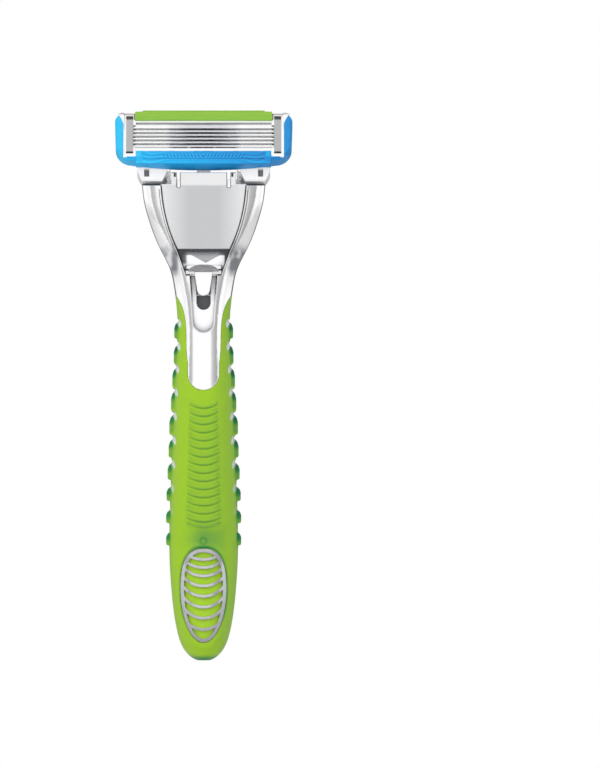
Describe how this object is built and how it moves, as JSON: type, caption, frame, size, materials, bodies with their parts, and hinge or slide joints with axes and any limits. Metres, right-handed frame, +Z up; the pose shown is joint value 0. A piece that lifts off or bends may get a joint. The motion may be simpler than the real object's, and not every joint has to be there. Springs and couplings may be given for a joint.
{
  "type": "cartridge razor",
  "caption": "Wet-shaving razor: soft-grip handle with a forked metal head, a pivoting multi-blade cartridge and a thumb release.",
  "frame": {"origin": "middle of the handle's waist, where a holder takes the razor, on the mid plane", "axes": "+Z up the handle towards the cartridge, +X to the right seen from the front, -Y the front, where the blades face"},
  "size_m": [0.0416, 0.0144, 0.129],
  "materials": {
    "chrome_plate": "polished chrome plating",
    "grip_rubber": "matt soft-touch elastomer",
    "pad_rubber": "matt soft-touch elastomer",
    "satin_metal": "satin silver",
    "spring_steel": "drawn wire",
    "grey_plastic": "moulded",
    "white_plastic": "moulded",
    "blue_elastomer": "satin elastomer",
    "strip_polymer": "waxy",
    "clip_aluminium": "satin",
    "blade_steel": "ground and polished"
  },
  "bodies": {
    "handle": {"handle_core": "chrome_plate", "grip": "grip_rubber", "oval_grille": "chrome_plate", "pad_insert": "pad_rubber", "face_plate": "satin_metal", "back_cover": "chrome_plate", "slider_spring": "spring_steel", "plunger_spring": "spring_steel"},
    "slider": {"release_slider": "chrome_plate"},
    "latch_left": {"latch_left": "grey_plastic"},
    "latch_right": {"latch_right": "grey_plastic"},
    "plunger": {"pivot_plunger": "white_plastic"},
    "cartridge": {"cartridge_frame": "white_plastic", "guard": "blue_elastomer", "lube_strip": "strip_polymer", "clip_left": "clip_aluminium", "clip_right": "clip_aluminium", "blade_1": "blade_steel", "blade_2": "blade_steel", "blade_3": "blade_steel", "blade_4": "blade_steel", "blade_5": "blade_steel", "blade_6": "blade_steel", "blade_support_1": "blade_steel", "blade_support_2": "blade_steel", "blade_support_3": "blade_steel", "blade_support_4": "blade_steel", "blade_support_5": "blade_steel", "blade_support_6": "blade_steel"}
  },
  "joints": [
    {"name": "cartridge_pivot", "type": "hinge", "parent": "handle", "child": "cartridge", "pos_m": [0, 0, 0.036], "axis": [-1, 0, 0], "range_deg": [0, 40], "stiffness_Nm_per_rad": 0.02},
    {"name": "plunger_slide", "type": "slide", "parent": "handle", "child": "plunger", "axis": [0, 0, -1], "range_m": [0, 0.00244], "deforming": ["plunger_spring"]},
    {"name": "release_slide", "type": "slide", "parent": "handle", "child": "slider", "axis": [0, 0, 1], "range_m": [0, 0.0035], "stiffness_N_per_m": 300, "deforming": ["slider_spring"]},
    {"name": "latch_left_slide", "type": "slide", "parent": "handle", "child": "latch_left", "axis": [1, 0, 0], "range_m": [0, 0.0015]},
    {"name": "latch_right_slide", "type": "slide", "parent": "handle", "child": "latch_right", "axis": [-1, 0, 0], "range_m": [0, 0.0015]}
  ],
  "couplings": [
    {"joint": "cartridge_pivot", "follows": "plunger_slide", "rad_per_m": 285.71},
    {"joint": "latch_left_slide", "follows": "release_slide", "ratio": 0.42857},
    {"joint": "latch_right_slide", "follows": "release_slide", "ratio": 0.42857}
  ]
}
